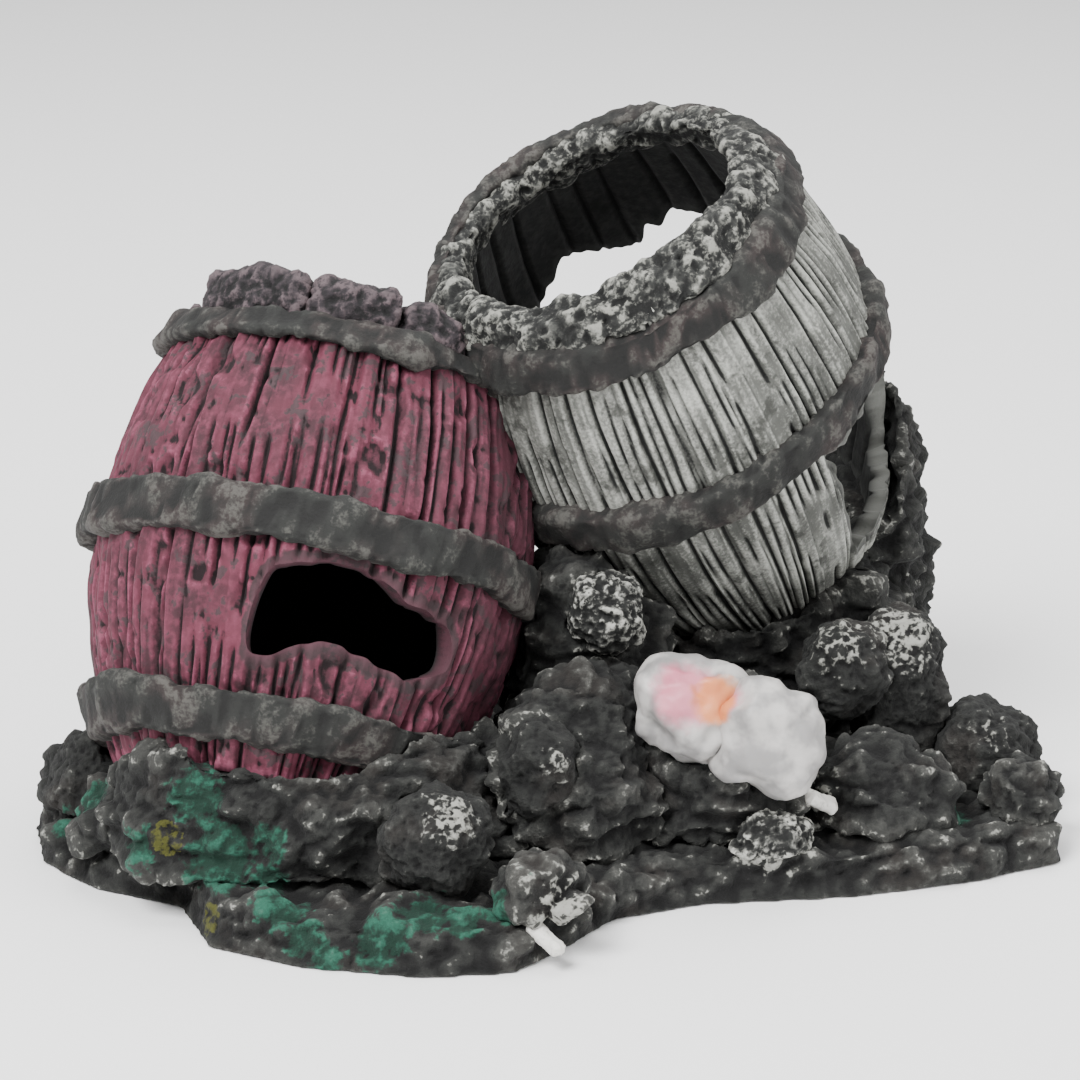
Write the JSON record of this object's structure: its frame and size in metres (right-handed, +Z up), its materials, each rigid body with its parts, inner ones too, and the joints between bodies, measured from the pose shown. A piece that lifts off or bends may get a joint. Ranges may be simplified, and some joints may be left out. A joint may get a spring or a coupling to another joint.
{
  "type": "resin cave ornament",
  "caption": "Cave ornament of broken barrels leaning on a rocky base: hollow shells with a ragged door, an open mouth and wall gaps to swim through, and pebbles set in the rock.",
  "frame": {"origin": "on the flat underside of the base, below the middle of the base's length and a little behind its front-to-back middle", "axes": "+X to the right along the base, +Y to the back, +Z up; the ragged door of the red barrel faces -Y"},
  "size_m": [0.147, 0.1104, 0.0989],
  "materials": {
    "dark_rock": "matt painted cast resin, rough",
    "pale_crust": "matt dry-brushed cast resin, pitted",
    "red_staves": "matt painted cast resin, wood grain",
    "grey_staves": "matt dry-brushed cast resin, wood grain",
    "hoops": "matt painted cast resin, pitted",
    "quartz": "satin natural pebble",
    "white_chip": "matt natural chip"
  },
  "bodies": {
    "root": {"back_left_boulder": "dark_rock", "back_outcrop": "dark_rock", "base_slab": "dark_rock", "centre_outcrop": "dark_rock", "crusted_rock": "pale_crust", "front_boulder": "dark_rock", "front_toe_rock": "dark_rock", "gap_rock": "dark_rock", "grey_barrel_shell": "grey_staves", "grey_belly_hoop": "hoops", "grey_neck_hoop": "hoops", "grey_rim_crust": "pale_crust", "knob_boulder": "dark_rock", "left_boulder": "dark_rock", "left_mound": "dark_rock", "middle_ledge": "dark_rock", "pebble_seat": "dark_rock", "pocked_rock": "pale_crust", "quartz_pebble_left": "quartz", "quartz_pebble_right": "quartz", "red_barrel_head": "red_staves", "red_barrel_shell": "red_staves", "red_belly_hoop": "hoops", "red_cradle": "dark_rock", "red_foot_hoop": "hoops", "red_stave_stubs": "pale_crust", "red_top_hoop": "hoops", "right_boulder": "dark_rock", "right_ridge": "dark_rock", "right_toe_rock": "dark_rock", "saddle_rock": "dark_rock", "tall_rock": "dark_rock", "white_chip_front": "white_chip", "white_chip_right": "white_chip"}
  },
  "joints": []
}
